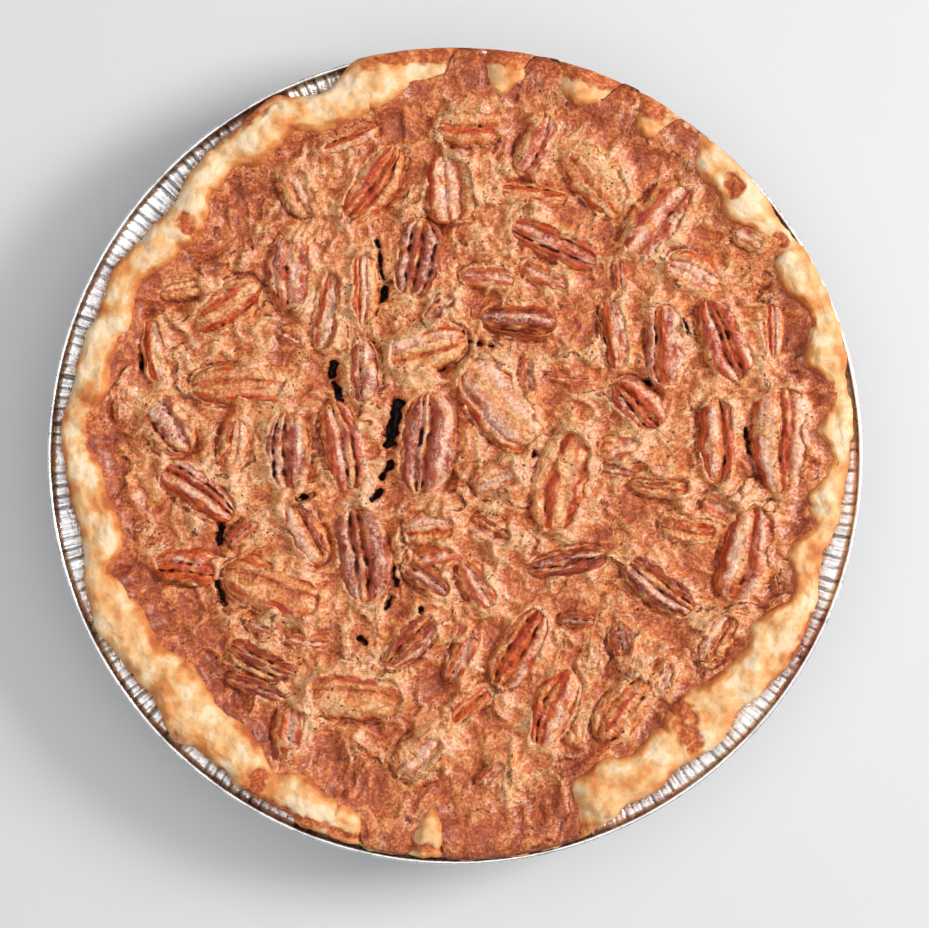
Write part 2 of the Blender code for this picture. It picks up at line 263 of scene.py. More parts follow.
# %% Chips between the halves
# Middle x, y, length, width and heading, in millimetres and degrees, then coat and tone.
CHIPS = [
    (10, 53, 18, 8, -5, 0.5, "red"), (27, 53, 17, 7, -25, 0.5, "red"), (-58, -68, 20, 6, -20, 0.1, "dark"),
    (2, -59, 17, 8, 62, 0.45, "red"), (-8, -36, 17, 8, -33, 0.3, "dark"), (7, -38, 18, 10, -58, 0.45, "red"),
    (13, -6, 17, 11, 25, 0.85, "orange"), (49, 3, 14, 10, 20, 0.75, "red"), (-48, -80, 17, 11, 85, 0.55, "red"),
    (-62, -22, 12, 6, 40, 0.35, "red"), (36, -48, 11, 5, -3, 0.0, "dark"), (49, -54, 12, 8, 100, 0.2, "dark"),
    (49, 53, 11, 5, 95, 0.45, "red"), (34, 23, 15, 4, -3, 0.4, "orange"), (-70, 56, 10, 5, 10, 0.8, "orange"),
    (11, -93, 12, 6, 45, 0.45, "red"), (-44, -54, 14, 5, -8, 0.45, "red"), (-63, 58, 8, 5, 60, 0.8, "orange"),
    (-4, 44, 14, 7, 40, 0.55, "grey"), (48, -4, 10, 5, -10, 0.3, "dark"), (79, -15, 14, 9, -20, 0.7, "orange"),
    (106, -4, 10, 7, 90, 0.7, "orange"), (-48, 35, 9, 5, -30, 0.3, "red"), (-57, -50, 10, 5, -25, 0.5, "red"),
    (-5, -29, 14, 8, 10, 0.45, "red"), (62, -65, 12, 8, 60, 0.7, "grey"), (95, -37, 9, 4, 100, 0.3, "dark"),
    (-92, -21, 7, 5, 0, 0.5, "red"), (87, 64, 12, 8, -30, 0.75, "grey"), (-98, 16, 12, 6, 90, 0.8, "orange"),
    (22, 24, 12, 6, 95, 0.75, "orange"),
]


def chip_place(number, row):
    """A chip told in the same way as a nut. It rises from 27 mm to a crest that depends on its width."""
    x, y, length, width, turn, coat, tone = row
    along = np.array([math.cos(math.radians(turn)), math.sin(math.radians(turn))])
    return {"name": f"chip_{number}", "middle": np.array([x, y]), "along": along,
            "across": np.array([-along[1], along[0]]), "length": length, "width": width, "low": 27.0,
            "high": FILLING_TOP + 1.2 + 0.17 * width, "coat": coat, "grooves": [0.1],
            "reds": [-0.4, 0.45], "pales": [-0.05], "tone": tone, "crack": "W"}


chips = [chip_place(number, row) for number, row in enumerate(CHIPS)]
print(len(chips), "chips")


# %% [markdown]
# ## Meshes from arrays
# Every piece is a grid of points, worked out as whole arrays, or a few grids joined. These helpers turn such a
# grid into a closed body, store numbers on its points for the materials, and say what the piece rides on.


# %% From arrays to a mesh
def closed_skin(name, grid):
    """An object whose skin runs through a grid of points, row by row. The columns close into rings, and a
    single point closes the first ring and the last one, so the body has no hole."""
    rows, columns = grid.shape[:2]
    points = np.vstack([grid.reshape(-1, 3), grid[0].mean(0), grid[-1].mean(0)])
    index = np.arange(rows * columns).reshape(rows, columns)
    later = np.roll(index, -1, axis=1)
    quads = np.stack([index[:-1], later[:-1], later[1:], index[1:]], axis=-1).reshape(-1, 4)
    start, end = rows * columns, rows * columns + 1
    fan_first = np.stack([np.full(columns, start), later[0], index[0]], axis=-1)
    fan_last = np.stack([np.full(columns, end), index[-1], later[-1]], axis=-1)
    return make_object(name, points, quads.tolist() + fan_first.tolist() + fan_last.tolist())


def make_object(name, points, faces):
    """An object at the origin from points in millimetres, smooth, with its faces turned outwards."""
    mesh = bpy.data.meshes.new(name)
    mesh.from_pydata((points * MM).tolist(), [], faces)
    mesh.update()
    if enclosed_volume(mesh) < 0:
        mesh.flip_normals()
    mesh.shade_smooth()
    thing = bpy.data.objects.new(name, mesh)
    bpy.context.scene.collection.objects.link(thing)
    return thing


def enclosed_volume(mesh):
    """The volume a closed mesh encloses: the sum, over its triangles, of the pyramid down to the origin.
    It is negative where the faces point inwards."""
    mesh.calc_loop_triangles()
    count = len(mesh.loop_triangles)
    triangles = np.empty(3 * count, dtype=int)
    mesh.loop_triangles.foreach_get("vertices", triangles)
    spots = np.empty(3 * len(mesh.vertices))
    mesh.vertices.foreach_get("co", spots)
    a, b, c = spots.reshape(-1, 3)[triangles.reshape(-1, 3)].transpose(1, 0, 2)
    return float(np.einsum("ij,ij->i", a, np.cross(b, c)).sum() / 6)


def paint(thing, name, values):
    """Store one number for each point of a mesh, for a material to read. A grid's values are followed by
    those of its two end points."""
    values = np.asarray(values, dtype=np.float32).ravel()
    missing = len(thing.data.vertices) - len(values)
    if missing:
        values = np.append(values, [values[0]] * (missing - 1) + [values[-1]])
    thing.data.attributes.new(name, "FLOAT", "POINT").data.foreach_set("value", values)


def finish_piece(piece, slot, *replaced):
    """Every piece rides on the one body, and the solids it stands for are hidden. The slot it is given is not used."""
    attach(piece, "root")
    if replaced:
        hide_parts(*replaced)
    print(f"{piece.name}: {sum(len(p.vertices) - 2 for p in piece.data.polygons)} triangles")


# %% [markdown]
# ## Nodes in a few words
# Materials are node trees. Three helpers keep them readable: one adds a node and fills or links its sockets,
# one mixes two colours, and one turns a range of values into a mask.


# %% Helpers for materials
def srgb(red, green, blue):
    """A colour as a painter names it, 0 to 255, turned into the linear light that shaders add up."""
    parts = [part / 255 for part in (red, green, blue)]
    return tuple(p / 12.92 if p < 0.04045 else ((p + 0.055) / 1.055) ** 2.4 for p in parts) + (1.0,)


def put(tree, kind, inputs=None, **settings):
    """Add a node. Settings are its own options, inputs its sockets: a value, or another node's output."""
    node = tree.nodes.new(kind)
    for name, value in settings.items():
        setattr(node, name, value)
    for name, value in (inputs or {}).items():
        if isinstance(value, bpy.types.NodeSocket):
            tree.links.new(value, node.inputs[name])
        else:
            node.inputs[name].default_value = value
    return node


COLOUR_SHARE, COLOUR_A, COLOUR_B, COLOUR_OUT = 0, 6, 7, 2   # a Mix node's sockets when it mixes colours


def mix(tree, share, below, above, how="MIX"):
    """The colour above laid over the colour below by a share."""
    return put(tree, "ShaderNodeMix", {COLOUR_SHARE: share, COLOUR_A: below, COLOUR_B: above},
               data_type="RGBA", blend_type=how).outputs[COLOUR_OUT]


def mask(tree, value, low, high, start=0.0, end=1.0):
    """A mask that runs smoothly from start to end as the value goes from low to high."""
    return put(tree, "ShaderNodeMapRange", {"Value": value, "From Min": low, "From Max": high,
                                            "To Min": start, "To Max": end},
               interpolation_type="SMOOTHSTEP").outputs["Result"]


def maths(tree, how, first, second=0.0):
    """One sum on two values."""
    return put(tree, "ShaderNodeMath", {0: first, 1: second}, operation=how).outputs[0]


def noise(tree, where, scale, detail=3.0, roughness=0.55, distortion=0.0):
    """Noise of a given number of features to the metre."""
    return put(tree, "ShaderNodeTexNoise", {"Vector": where, "Scale": scale, "Detail": detail,
                                            "Roughness": roughness, "Distortion": distortion}).outputs["Fac"]


def read(tree, name):
    """A number stored on the mesh by paint."""
    return put(tree, "ShaderNodeAttribute", attribute_name=name).outputs["Fac"]


def new_material(name, roughness, **sockets):
    """A material with its tree and its Principled shader, whose even values sit on its own sockets."""
    material = bpy.data.materials.new(name)
    material.use_nodes = True
    shader = material.node_tree.nodes["Principled BSDF"]
    shader.inputs["Roughness"].default_value = roughness
    for socket, value in sockets.items():
        shader.inputs[socket.replace("_", " ")].default_value = value
    return material, material.node_tree, shader


def bump(tree, height, strength, distance):
    """A normal tilted by a height in the same way as real relief of that depth, in metres."""
    return put(tree, "ShaderNodeBump", {"Height": height, "Strength": strength,
                                        "Distance": distance}).outputs["Normal"]


print("material helpers ready")

# %% [markdown]
# ## The look of baked froth
# Egg, butter and syrup rise as the pie bakes and set into a crust of tiny bubbles: golden where thin, brown
# where the sugar caught, flecked paler and pricked with pores. Painted shade darkens the pores, cracks and
# holes, and painted highlights lighten raised spots and lay a pale sheen on some slopes. The filling and the
# coat on the nuts are the same stuff, so the look is one node group that both materials place with their own
# masks.

# %% Colours of the filling
CREAMY = srgb(238, 184, 132)
GOLDEN = srgb(220, 136, 76)
CARAMEL = srgb(194, 94, 46)
TOFFEE = srgb(170, 80, 42)
RUST = srgb(138, 58, 28)
# painted shade: the colour of cracks and of the slots in nut grooves
CREASE_SHADE = srgb(108, 42, 20)
# painted shade: near black, for holes and pores
HOLE_SHADE = srgb(24, 7, 3)
# painted highlight: a pale pinkish sheen
PAINTED_SHEEN_WHITE = srgb(240, 200, 180)


# %% The froth group
def make_froth():
    """One tone from dark to light: broad, middle and fine noises added up, lighter where the surface is raised
    and darker where it is low, which is painted light and shade, and darker where the sugar caught. The tone
    picks a colour from rust to cream. Brown creases lie where a broad noise crosses its middle value. Pores prick
    it and are painted near black as painted shade, a pale painted sheen lies where the material's mask says, and
    the Hollow mask darkens cracks and holes with painted shade."""
    tree = bpy.data.node_groups.new("baked_froth", "ShaderNodeTree")
    for name in ("Toast", "Relief Shading", "Painted Sheen", "Hollow"):
        tree.interface.new_socket(name, in_out="INPUT", socket_type="NodeSocketFloat")
    tree.interface.new_socket("Color", in_out="OUTPUT", socket_type="NodeSocketColor")
    for name in ("Roughness", "Height"):
        tree.interface.new_socket(name, in_out="OUTPUT", socket_type="NodeSocketFloat")
    given = put(tree, "NodeGroupInput").outputs
    where = put(tree, "ShaderNodeTexCoord").outputs["Object"]
    patches = noise(tree, where, 75.0, detail=2.0)
    smears = noise(tree, where, 230.0, detail=4.0, roughness=0.62, distortion=1.4)
    grit = noise(tree, where, 1100.0, detail=2.0, roughness=0.65)
    fold = noise(tree, where, 120.0, detail=2.0, distortion=1.6)
    cells = put(tree, "ShaderNodeTexVoronoi", {"Vector": where, "Scale": 330.0}).outputs["Distance"]
    tone = maths(tree, "ADD", mask(tree, patches, 0.35, 0.65, -0.10, 0.10), mask(tree, smears, 0.30, 0.70, 0.30, 0.76))
    tone = maths(tree, "ADD", tone, mask(tree, grit, 0.30, 0.70, -0.21, 0.21))
    # painted light and shade: the tone is lighter where the surface is raised and darker where it is low
    tone = maths(tree, "ADD", tone, maths(tree, "MULTIPLY", given["Relief Shading"], 0.30))
    tone = maths(tree, "SUBTRACT", tone, maths(tree, "MULTIPLY", given["Toast"], 0.22))
    colour = mix(tree, mask(tree, tone, -0.12, 0.20), RUST, TOFFEE)
    colour = mix(tree, mask(tree, tone, 0.16, 0.42), colour, CARAMEL)
    colour = mix(tree, mask(tree, tone, 0.34, 0.66), colour, GOLDEN)
    colour = mix(tree, mask(tree, tone, 0.64, 0.98), colour, CREAMY)
    crease = mask(tree, maths(tree, "ABSOLUTE", maths(tree, "SUBTRACT", fold, 0.5)), 0.003, 0.016, 1.0, 0.0)
    crease = maths(tree, "MULTIPLY", crease, mask(tree, patches, 0.46, 0.56))
    colour = mix(tree, maths(tree, "MULTIPLY", crease, 0.45), colour, RUST)
    pores = maths(tree, "MULTIPLY", mask(tree, cells, 0.09, 0.15, 1.0, 0.0), mask(tree, patches, 0.50, 0.56))
    # painted highlight: a pale sheen, in grains, where the material's mask says
    painted_sheen = maths(tree, "MULTIPLY", given["Painted Sheen"], mask(tree, grit, 0.40, 0.60, 0.15, 0.85))
    colour = mix(tree, painted_sheen, colour, PAINTED_SHEEN_WHITE)
    # painted shade: the pores are painted near black
    colour = mix(tree, maths(tree, "MULTIPLY", pores, 0.85), colour, HOLE_SHADE)
    # painted shade: cracks and holes are darkened by the Hollow mask
    colour = mix(tree, mask(tree, given["Hollow"], 0.0, 0.5), colour, CREASE_SHADE)
    colour = mix(tree, mask(tree, given["Hollow"], 0.5, 1.0), colour, HOLE_SHADE)
    height = maths(tree, "ADD", maths(tree, "MULTIPLY", smears, 0.9), maths(tree, "MULTIPLY", grit, 0.34))
    height = maths(tree, "SUBTRACT", height, maths(tree, "MULTIPLY", pores, 0.4))
    height = maths(tree, "SUBTRACT", height, maths(tree, "MULTIPLY", crease, 0.25))
    rough = mask(tree, grit, 0.3, 0.7, 0.34, 0.52)
    put(tree, "NodeGroupOutput", {"Color": colour, "Roughness": rough, "Height": height})
    return tree


froth = make_froth()
print("froth group:", len(froth.nodes), "nodes")


def place_froth(tree, toast, relief_shading, painted_sheen, hollow):
    """The froth group placed in a material, with that material's masks."""
    group = put(tree, "ShaderNodeGroup", {}, node_tree=froth)
    for name, value in (("Toast", toast), ("Relief Shading", relief_shading), ("Painted Sheen", painted_sheen), ("Hollow", hollow)):
        if isinstance(value, bpy.types.NodeSocket):
            tree.links.new(value, group.inputs[name])
        else:
            group.inputs[name].default_value = value
    return group.outputs


# %% Material of the filling
def make_filling_material():
    """The froth, browned where the mesh says so, under a thin gloss of syrup. The mesh stores how far each
    point is from the nearest crack and hole, and these are darkened with painted shade. A distance changes evenly,
    so its edge stays crisp here, however far apart the points are."""
    material, tree, shader = new_material("baked_filling", 0.5, Coat_Roughness=0.26, Specular_IOR_Level=0.3)
    where = put(tree, "ShaderNodeTexCoord").outputs["Object"]
    ragged = mask(tree, noise(tree, where, 420.0, detail=3.0), 0.3, 0.7, -0.45, 0.45)
    crack = mask(tree, maths(tree, "ADD", read(tree, "crack"), ragged), 0.10, 0.50, 1.0, 0.0)
    hole = mask(tree, maths(tree, "ADD", read(tree, "hole"), ragged), -0.15, 0.25, 1.0, 0.0)
    # painted shade: cracks and holes darken the colour through this mask
    hollow = maths(tree, "MAXIMUM", maths(tree, "MULTIPLY", crack, 0.38), hole)
    tree.links.new(mask(tree, hollow, 0.0, 0.5, 0.3, 0.0), shader.inputs["Coat Weight"])
    look = place_froth(tree, read(tree, "toast"), read(tree, "relief_shading"), read(tree, "painted_sheen"), hollow)
    tree.links.new(look["Color"], shader.inputs["Base Color"])
    tree.links.new(look["Roughness"], shader.inputs["Roughness"])
    tree.links.new(bump(tree, look["Height"], 0.9, 0.0012), shader.inputs["Normal"])
    return material


filling_finish = make_filling_material()
print("filling material ready")

# %% [markdown]
# ## The filling
# The top is a height over every spot of a disc. A square grid squeezed into the disc keeps its cells nearly
# equal all the way in, which rings and spokes would not. The height adds up slow swells, wrinkles, a lip that
# climbs each nut, a moat on the side where the nut pulled away, and the holes where steam broke through.

# %% Where the filling ran over the crust
BOILED_OVER = [(0.5, 3.5), (11.5, 14.5), (24.5, 26.5), (34, 37), (162, 181), (187, 193)]   # degrees
BOIL_FADE = 2.2
DRAPED = (-13, 29)     # here syrup hangs over the foil's rim and hides it


def reach(clock, first, last, fade):
    """1 between two clock angles in degrees, falling to 0 over a fade on both sides."""
    off_middle = np.abs((np.degrees(clock) - (first + last) / 2 + 180) % 360 - 180)
    return 1 - ease(off_middle - (last - first) / 2, 0, fade)


def boiled(clock):
    """1 where the filling ran over the crust's edge, 0 where it didn't, with soft ends."""
    return np.max([reach(clock, first, last, BOIL_FADE) for first, last in BOILED_OVER], axis=0)


print("boiled over at", len(BOILED_OVER), "places")


# %% How far a spot is from a nut
OVALNESS = 2.5         # 2 would be an ellipse; more gives squarer shoulders


def nut_distance(nut, x, y):
    """Distance from a nut's outline, negative inside it: along the line from its middle, how far the spot
    is past the point where that line crosses the outline."""
    dx, dy = x - nut["middle"][0], y - nut["middle"][1]
    along = (dx * nut["along"][0] + dy * nut["along"][1]) / (nut["length"] / 2)
    across = (dx * nut["across"][0] + dy * nut["across"][1]) / (nut["width"] / 2)
    size = (np.abs(along) ** OVALNESS + np.abs(across) ** OVALNESS) ** (1 / OVALNESS)
    return np.hypot(dx, dy) * (1 - 1 / np.maximum(size, 1e-6))


# %% Steam holes and cracks
# Each is a slot: its middle x, y, length, width and the turn of its length, in millimetres and degrees.
STEAM_HOLES = [
    (-36, 25.5, 5, 2.2, 80), (-34, 18, 10, 1.8, -75), (-18, 10, 15, 3.4, 78), (-20, -4, 7, 2, 55),
    (-23, -11, 5, 1.4, 45), (-21, 48, 5, 2, 80), (-22, 58, 12, 0.8, -80), (-69, -22, 8, 1.8, 82),
    (-69, -40, 8, 1.4, -70), (-45, -12, 3, 2, 30), (-18, -35, 7, 1.6, -75), (-19.5, -43, 5, 1.2, 60),
    (-10, -45, 2, 1.8, 0), (-27, -54, 3, 1.6, -50), (2.5, 36.5, 2, 1.2, -60), (5, 34, 1.6, 1, 0),
    (7.5, 33.5, 1.4, 0.9, 0), (10.5, 32.5, 2, 1, -20), (-4, 26, 3, 1.2, 30), (86, 5, 8, 1.2, -80),
    (57, 22, 3, 1.4, -20), (68, 38, 5, 1, -75), (23.5, 1, 3, 1.2, 45), (-6, -33, 3, 1, -10),
    (-91.5, 28, 7, 1.4, 88), (-83, 12, 1.5, 1, 0),
]
HOLE_DEPTH = 4.0


def hole_distance(x, y):
    """Distance to the nearest slot's edge, negative inside: how far a spot is from the slot's middle line,
    less half the slot's width."""
    nearest = np.full_like(x, 9.0)
    for cx, cy, length, width, turn in STEAM_HOLES:
        ux, uy = math.cos(math.radians(turn)), math.sin(math.radians(turn))
        dx, dy = x - cx + 0.5 * ripple(x / 2.6, y / 2.6, 91), y - cy
        run = np.clip(dx * ux + dy * uy, -(length - width) / 2, (length - width) / 2)
        half_width = width / 2 * (1 + 0.6 * ripple(x / 2.1, y / 2.1, 92))
        nearest = np.minimum(nearest, np.hypot(dx - run * ux, dy - run * uy) - half_width)
    return nearest


# %% Height of the filling
CRACK_GAP = 0.45       # distance of a nut's crack from its outline
FROTH_CREST = 34.2     # froth that rose past this height sagged back by half
SIDES = {"E": 0, "NE": 45, "N": 90, "NW": 135, "W": 180, "SW": 225, "S": 270, "SE": 315}


def zero_line(x, y, size, seed):
    """Distance to the nearest line on which a noise is 0, less than 0 on one of its sides: the noise over
    its steepness."""
    here = layered(x / size, y / size, seed)
    slope_x = layered((x + 0.5) / size, y / size, seed) - here
    slope_y = layered(x / size, (y + 0.5) / size, seed) - here
    return here / np.maximum(2 * np.hypot(slope_x, slope_y), 0.05)


def skirt(nut, x, y):
    """What a nut does to the filling round it: the rise of the froth up its side, higher where it is more
    drowned and folded like cloth, less the notch on the side where it cracked away; and the distance to
    that crack."""
    d = nut_distance(nut, x, y)
    dx, dy = x - nut["middle"][0], y - nut["middle"][1]
    facing = np.arctan2(dy, dx)
    side = math.radians(SIDES[nut["crack"]])
    split = ease(np.cos(facing - side) + 0.5 * ripple(x / 5, y / 5, 51), 0.05, 0.6)
    rise = (0.8 + 1.4 * nut["coat"]) * (1 + 0.6 * ripple(x / 6, y / 6, 53)) * min(1, nut["width"] / 9)
    inside = np.maximum(-d, 0)
    cover = (0.3 + 2.6 * nut["coat"] * (1 - split)) * np.clip(1 + 0.9 * ripple(x / 5, y / 5, 56), 0.2, 2)
    lip = np.exp(-np.maximum(d, 0) / (1.3 + 0.07 * nut["width"])) + 0.5 * np.minimum(inside, cover)
    lip = np.minimum(rise * lip, nut["high"] - FILLING_TOP) * (1 - 0.85 * split)
    folds = 0.30 * ripple(d / 1.2 + 0.6 * ripple(x / 4, y / 4, 54), facing * 3, 55) * np.exp(-np.abs(d) / 4)
    notch = 0.9 * np.exp(-((d - CRACK_GAP) / 0.8) ** 2) * split
    sunk = (1.5 + lip) * ease(inside - cover, 0.0, 1.6)
    wavy = 0.35 * ripple(x / 3, y / 3, 52)
    return lip + folds - notch - sunk, np.abs(d - CRACK_GAP + wavy) + 2.5 * (1 - split)


def plates(x, y, size, seed, lift):
    """The crust of the froth breaks into plates. One side of each line stands up and slopes away again, and
    only stretches of each line broke."""
    line = zero_line(x, y, size, seed)
    broke = ease(ripple(x / 17, y / 17, seed + 5), -0.25, 0.20)
    step = lift * ease(line, -0.25, 0.25) * np.exp(-np.maximum(line, 0) / 4) * broke
    return step, np.abs(line) + 2.5 * (1 - broke)


def sunny(x, y, height):
    """How much a surface falls towards the window, from the slopes of its own grid: the change of height
    along each of the grid's two directions, solved for the change along X and along Y."""
    (x_i, x_j), (y_i, y_j), (z_i, z_j) = (np.gradient(part) for part in (x, y, height))
    area = x_i * y_j - x_j * y_i
    fall_x = -(z_i * y_j - z_j * y_i) / area
    fall_y = -(z_j * x_i - z_i * x_j) / area
    return 0.97 * fall_x + 0.24 * fall_y


def filling_height(x, y):
    """Height of the filling at each spot, and what its material reads: how browned it is; how raised, which the
    material paints lighter or darker as painted light and shade; a pale painted highlight on slopes that face the
    window; and the distances to the nearest crack and the nearest hole, which it darkens with painted shade."""
    radius, clock = np.hypot(x, y), clock_of(x, y)
    edge = border(clock)
    bend_x, bend_y = x + 3 * ripple(x / 9, y / 9, 21), y + 3 * ripple(x / 9, y / 9, 22)
    height = FILLING_TOP + 0.7 * layered(x / 24, y / 24, 11) + 1.2 * layered(bend_x / 10, bend_y / 10, 12)
    wrinkle = 1 - np.abs(layered(bend_x / 8, bend_y / 8, 31, 2))
    height += 0.8 * ease(wrinkle, 0.75, 1.0) + 0.20 * layered(x / 2.4, y / 2.4, 13, 2)
    step, crack = plates(bend_x, bend_y, 15, 41, 1.5)
    small_step, fine_crack = plates(bend_x + 50, bend_y, 9, 45, 0.9)
    height += step + small_step
    crack = np.minimum(crack + 0.10, fine_crack + 0.40)
    for nut in nuts + chips:
        dx, dy = x - nut["middle"][0], y - nut["middle"][1]
        near = np.hypot(dx, dy) < nut["length"] / 2 + 9
        lift, split = skirt(nut, x[near], y[near])
        height[near] += lift
        crack[near] = np.minimum(crack[near], split)
    # painted light and shade: how high the froth stands, which the material paints lighter or darker
    relief_shading = np.clip((height - FILLING_TOP - 0.7) / 1.6, -1, 1)
    patchy = ease(ripple(x / 7, y / 7, 57), -0.5, 0.3)
    # painted highlight: a pale sheen on slopes that fall towards the window
    painted_sheen = 0.8 * ease(sunny(x, y, height), 0.12, 0.65) * ease(height, FILLING_TOP, FILLING_TOP + 1.2) * patchy
    hole = hole_distance(x, y)
    height -= HOLE_DEPTH * (1 - ease(hole, -0.6, 0.5))
    spilled = boiled(clock)
    ragged = layered(x / 5, y / 5, 63, 3)
    flat = ease(radius, edge - 7, edge - 1) * (1 - spilled)
    height += flat * (FILLING_TOP + 2.5 + 0.6 * ragged - height)
    over = ease(radius, edge - 7, edge - 1) * spilled
    height += over * (FILLING_TOP + 2.6 + 0.6 * ragged - height)
    height -= 1.9 * spilled * ease(radius, 115.5, 119.5)
    height -= 0.5 * np.maximum(height - FROTH_CREST, 0)
    toast = ease(radius + 5 * layered(x / 14, y / 14, 61), edge - 16, edge - 3)
    toast = np.clip(0.85 * toast + 0.35 * ease(layered(x / 16, y / 16, 62), 0.1, 0.6), 0, 1)
    return height, {"toast": toast, "relief_shading": relief_shading, "painted_sheen": painted_sheen, "crack": crack, "hole": hole}


# %% The disc squeezed from a square
SIDE = 296             # points along a side of the square
UNDER_BRIM = [(110.2, 28.7), (103.4, 23.0), (84.0, 4.4)]     # greatest radius, and height


def squeezed_disc(side):
    """A square grid squeezed into a disc of radius 1: each square ring of the grid becomes a circle."""
    a, b = np.meshgrid(np.linspace(-1, 1, side), np.linspace(-1, 1, side), indexing="ij")
    wide = np.abs(a) > np.abs(b)
    radius = np.where(wide, a, b)
    ratio = np.where(wide, b, a) / np.where(radius == 0, 1, radius)
    turn = np.where(wide, np.pi / 4 * ratio, np.pi / 2 - np.pi / 4 * ratio)
    return radius * np.cos(turn), radius * np.sin(turn)


def ring(radius, height, clock):
    """One closed ring of points at a radius and a height, each a number or one value for each angle."""
    radius, height = radius + 0 * clock, height + 0 * clock
    return np.stack([radius * np.sin(clock), radius * np.cos(clock), height], -1)


def rim_of_square(side):
    """The grid's points round its outside, in order."""
    index = np.arange(side * side).reshape(side, side)
    return np.concatenate([index[:-1, 0], index[-1, :-1], index[:0:-1, -1], index[0, :0:-1]])


def make_filling():
    """The filling: its top over the disc, drawn out to the crust, then three rings below its brim: a lip that
    stays above the tin's ledge, a neck inside the case, and a flat base."""
    unit_x, unit_y = squeezed_disc(SIDE)
    share = np.hypot(unit_x, unit_y)
    clock = clock_of(unit_x, unit_y)
    spilled = boiled(clock)
    outer = round_curve(outer_stations, clock)
    far_edge = np.minimum(outer + 0.6, 119.6) + 1.0 * reach(clock, *DRAPED, 6)
    edge = (border(clock) + 1.5) * (1 - spilled) + far_edge * spilled
    middle = 104.0
    radius = share * middle + (edge - middle) * share ** 7
    x, y = radius * np.sin(clock), radius * np.cos(clock)
    height, masks = filling_height(x, y)
    top = np.stack([x, y, height], axis=-1).reshape(-1, 3)
    brim = rim_of_square(SIDE)
    brim_radius, brim_clock = radius.ravel()[brim], clock.ravel()[brim]
    below = [ring(np.minimum(brim_radius, limit), z, brim_clock) for limit, z in UNDER_BRIM]
    index = np.arange(SIDE * SIDE).reshape(SIDE, SIDE)
    faces = np.stack([index[:-1, :-1], index[1:, :-1], index[1:, 1:], index[:-1, 1:]], -1).reshape(-1, 4).tolist()
    count = len(brim)
    loops = [brim] + [SIDE * SIDE + count * n + np.arange(count) for n in range(len(below))]
    for upper, lower in zip(loops, loops[1:]):
        faces += np.stack([upper, lower, np.roll(lower, -1), np.roll(upper, -1)], -1).tolist()
    faces.append(loops[-1].tolist())
    piece = make_object("filling_top", np.vstack([top] + below), faces)
    for name, values in masks.items():
        paint(piece, name, np.concatenate([values.ravel(), np.ones(count * len(below))]))
    piece.data.materials.append(filling_finish)
    finish_piece(piece, "filling", "filling")


make_filling()

# %% [markdown]
# ## The nuts
# A shelled half has a rounded back with deep grooves from end to end and broad ribs between them. Its skin is
# red-brown and stripy; filling has dried on it, fills the grooves and hides part of the stripes. A sculpted
# nut could be copied about, but no two are alike, so each comes from one formula with its own grooves and
# bands. Rows run from end to end, and columns round the section.

# %% The shape of a half
NUT_ROWS, NUT_TOP, NUT_UNDER = 96, 52, 8
GROOVE_WIDTH, BAND_WIDTH = 0.075, 0.15      # in half widths


def bands(v, places, width):
    """1 on the middle line of each band and falling off smoothly beside it."""
    return np.max([np.exp(-((v - place) / width) ** 2) for place in places] + [0 * v], axis=0)


def nut_masks(nut, t, bent, far):
    """How bare the skin is, where its pale bands of painted highlight lie, and where the slots in its grooves are
    darkened as painted shade, at each t along and v across. A band breaks up where a slow noise along the nut is
    low, and the coat closes over the ends.
    """
    ends = ease(np.abs(t), 0.70, 0.98)
    broken = ease(ripple(t * 3.0 + far, bent * 2.0, 81), -0.45, 0.15)
    valley = bands(bent, nut["grooves"], GROOVE_WIDTH) * (1 - ends)
    red = bands(bent, nut["reds"], BAND_WIDTH) * (0.35 + 0.65 * broken)
    patchy = layered(t * 1.8 + far, bent * 2.4, 77)
    bare = ease(0.95 * red + 0.74 - nut["coat"] + 0.6 * patchy - 0.5 * ends, 0.22, 0.75)
    pale = bands(bent, nut["pales"], 0.22) * ease(ripple(t * 2.6 + far, bent * 3.0, 83), -0.6, 0.1) * (1 - ends)
    slot = ease(ripple(t * 4.5 + far, bent * 1.5, 84) - 0.9 * nut["coat"], -0.50, 0.30)
    hollow = ease(valley + 0.5 * slot, 0.75, 1.25) * slot
    return bare, pale, hollow


def swell(bent, grooves):
    """The round of each rib, 0 in the grooves on both its sides and 1 along its crest."""
    edges = sorted([-1.0, 1.0] + grooves)
    round_of = 0 * bent
    for low, high in zip(edges, edges[1:]):
        place = (2 * bent - low - high) / (high - low)
        round_of = np.where(np.abs(place) < 1, (1 - np.minimum(np.abs(place), 1) ** 2.6) ** 0.5, round_of)
    return round_of


def nut_height(nut, t, v, bent, far):
    """Height over each spot, 0 at the foot and 1 at the crest: the dome of the section times the dome of
    the length, with ribs that swell between the grooves, threads along them and creases across."""
    dome = (1 - np.abs(v) ** 3.6) ** 0.55
    length_dome = (1 - np.abs(t) ** 4.0) ** 0.5
    depth = (0.60 - 0.44 * nut["coat"]) * (1 + 0.6 * ripple(t * 3 + far, bent * 1.5, 87))
    ribs = 1 - depth * (1 - swell(bent, nut["grooves"] or [-0.2, 0.25]))
    cross = 1 - np.abs(ripple(t * nut["length"] / 5 + far, bent * 1.6, 85))
    threads = ripple(t * 1.6 + far, bent * 9, 73) + 0.6 * ripple(t * 3 + far, bent * 19, 74)
    lumps = layered(t * 2.6 + far, v * 2.0, 75, 2)
    height = dome * (ribs + (0.02 + 0.03 * (1 - nut["coat"])) * threads + 0.13 * lumps
                     - 0.07 * ease(cross, 0.86, 1.0))
    if nut["name"].endswith(FACE_DOWN):
        height -= 0.30 * bands(v, [0.0], 0.5) * (1 - ease(np.abs(t), 0.6, 0.95))
    return np.clip(height * length_dome, 0, 1.03)


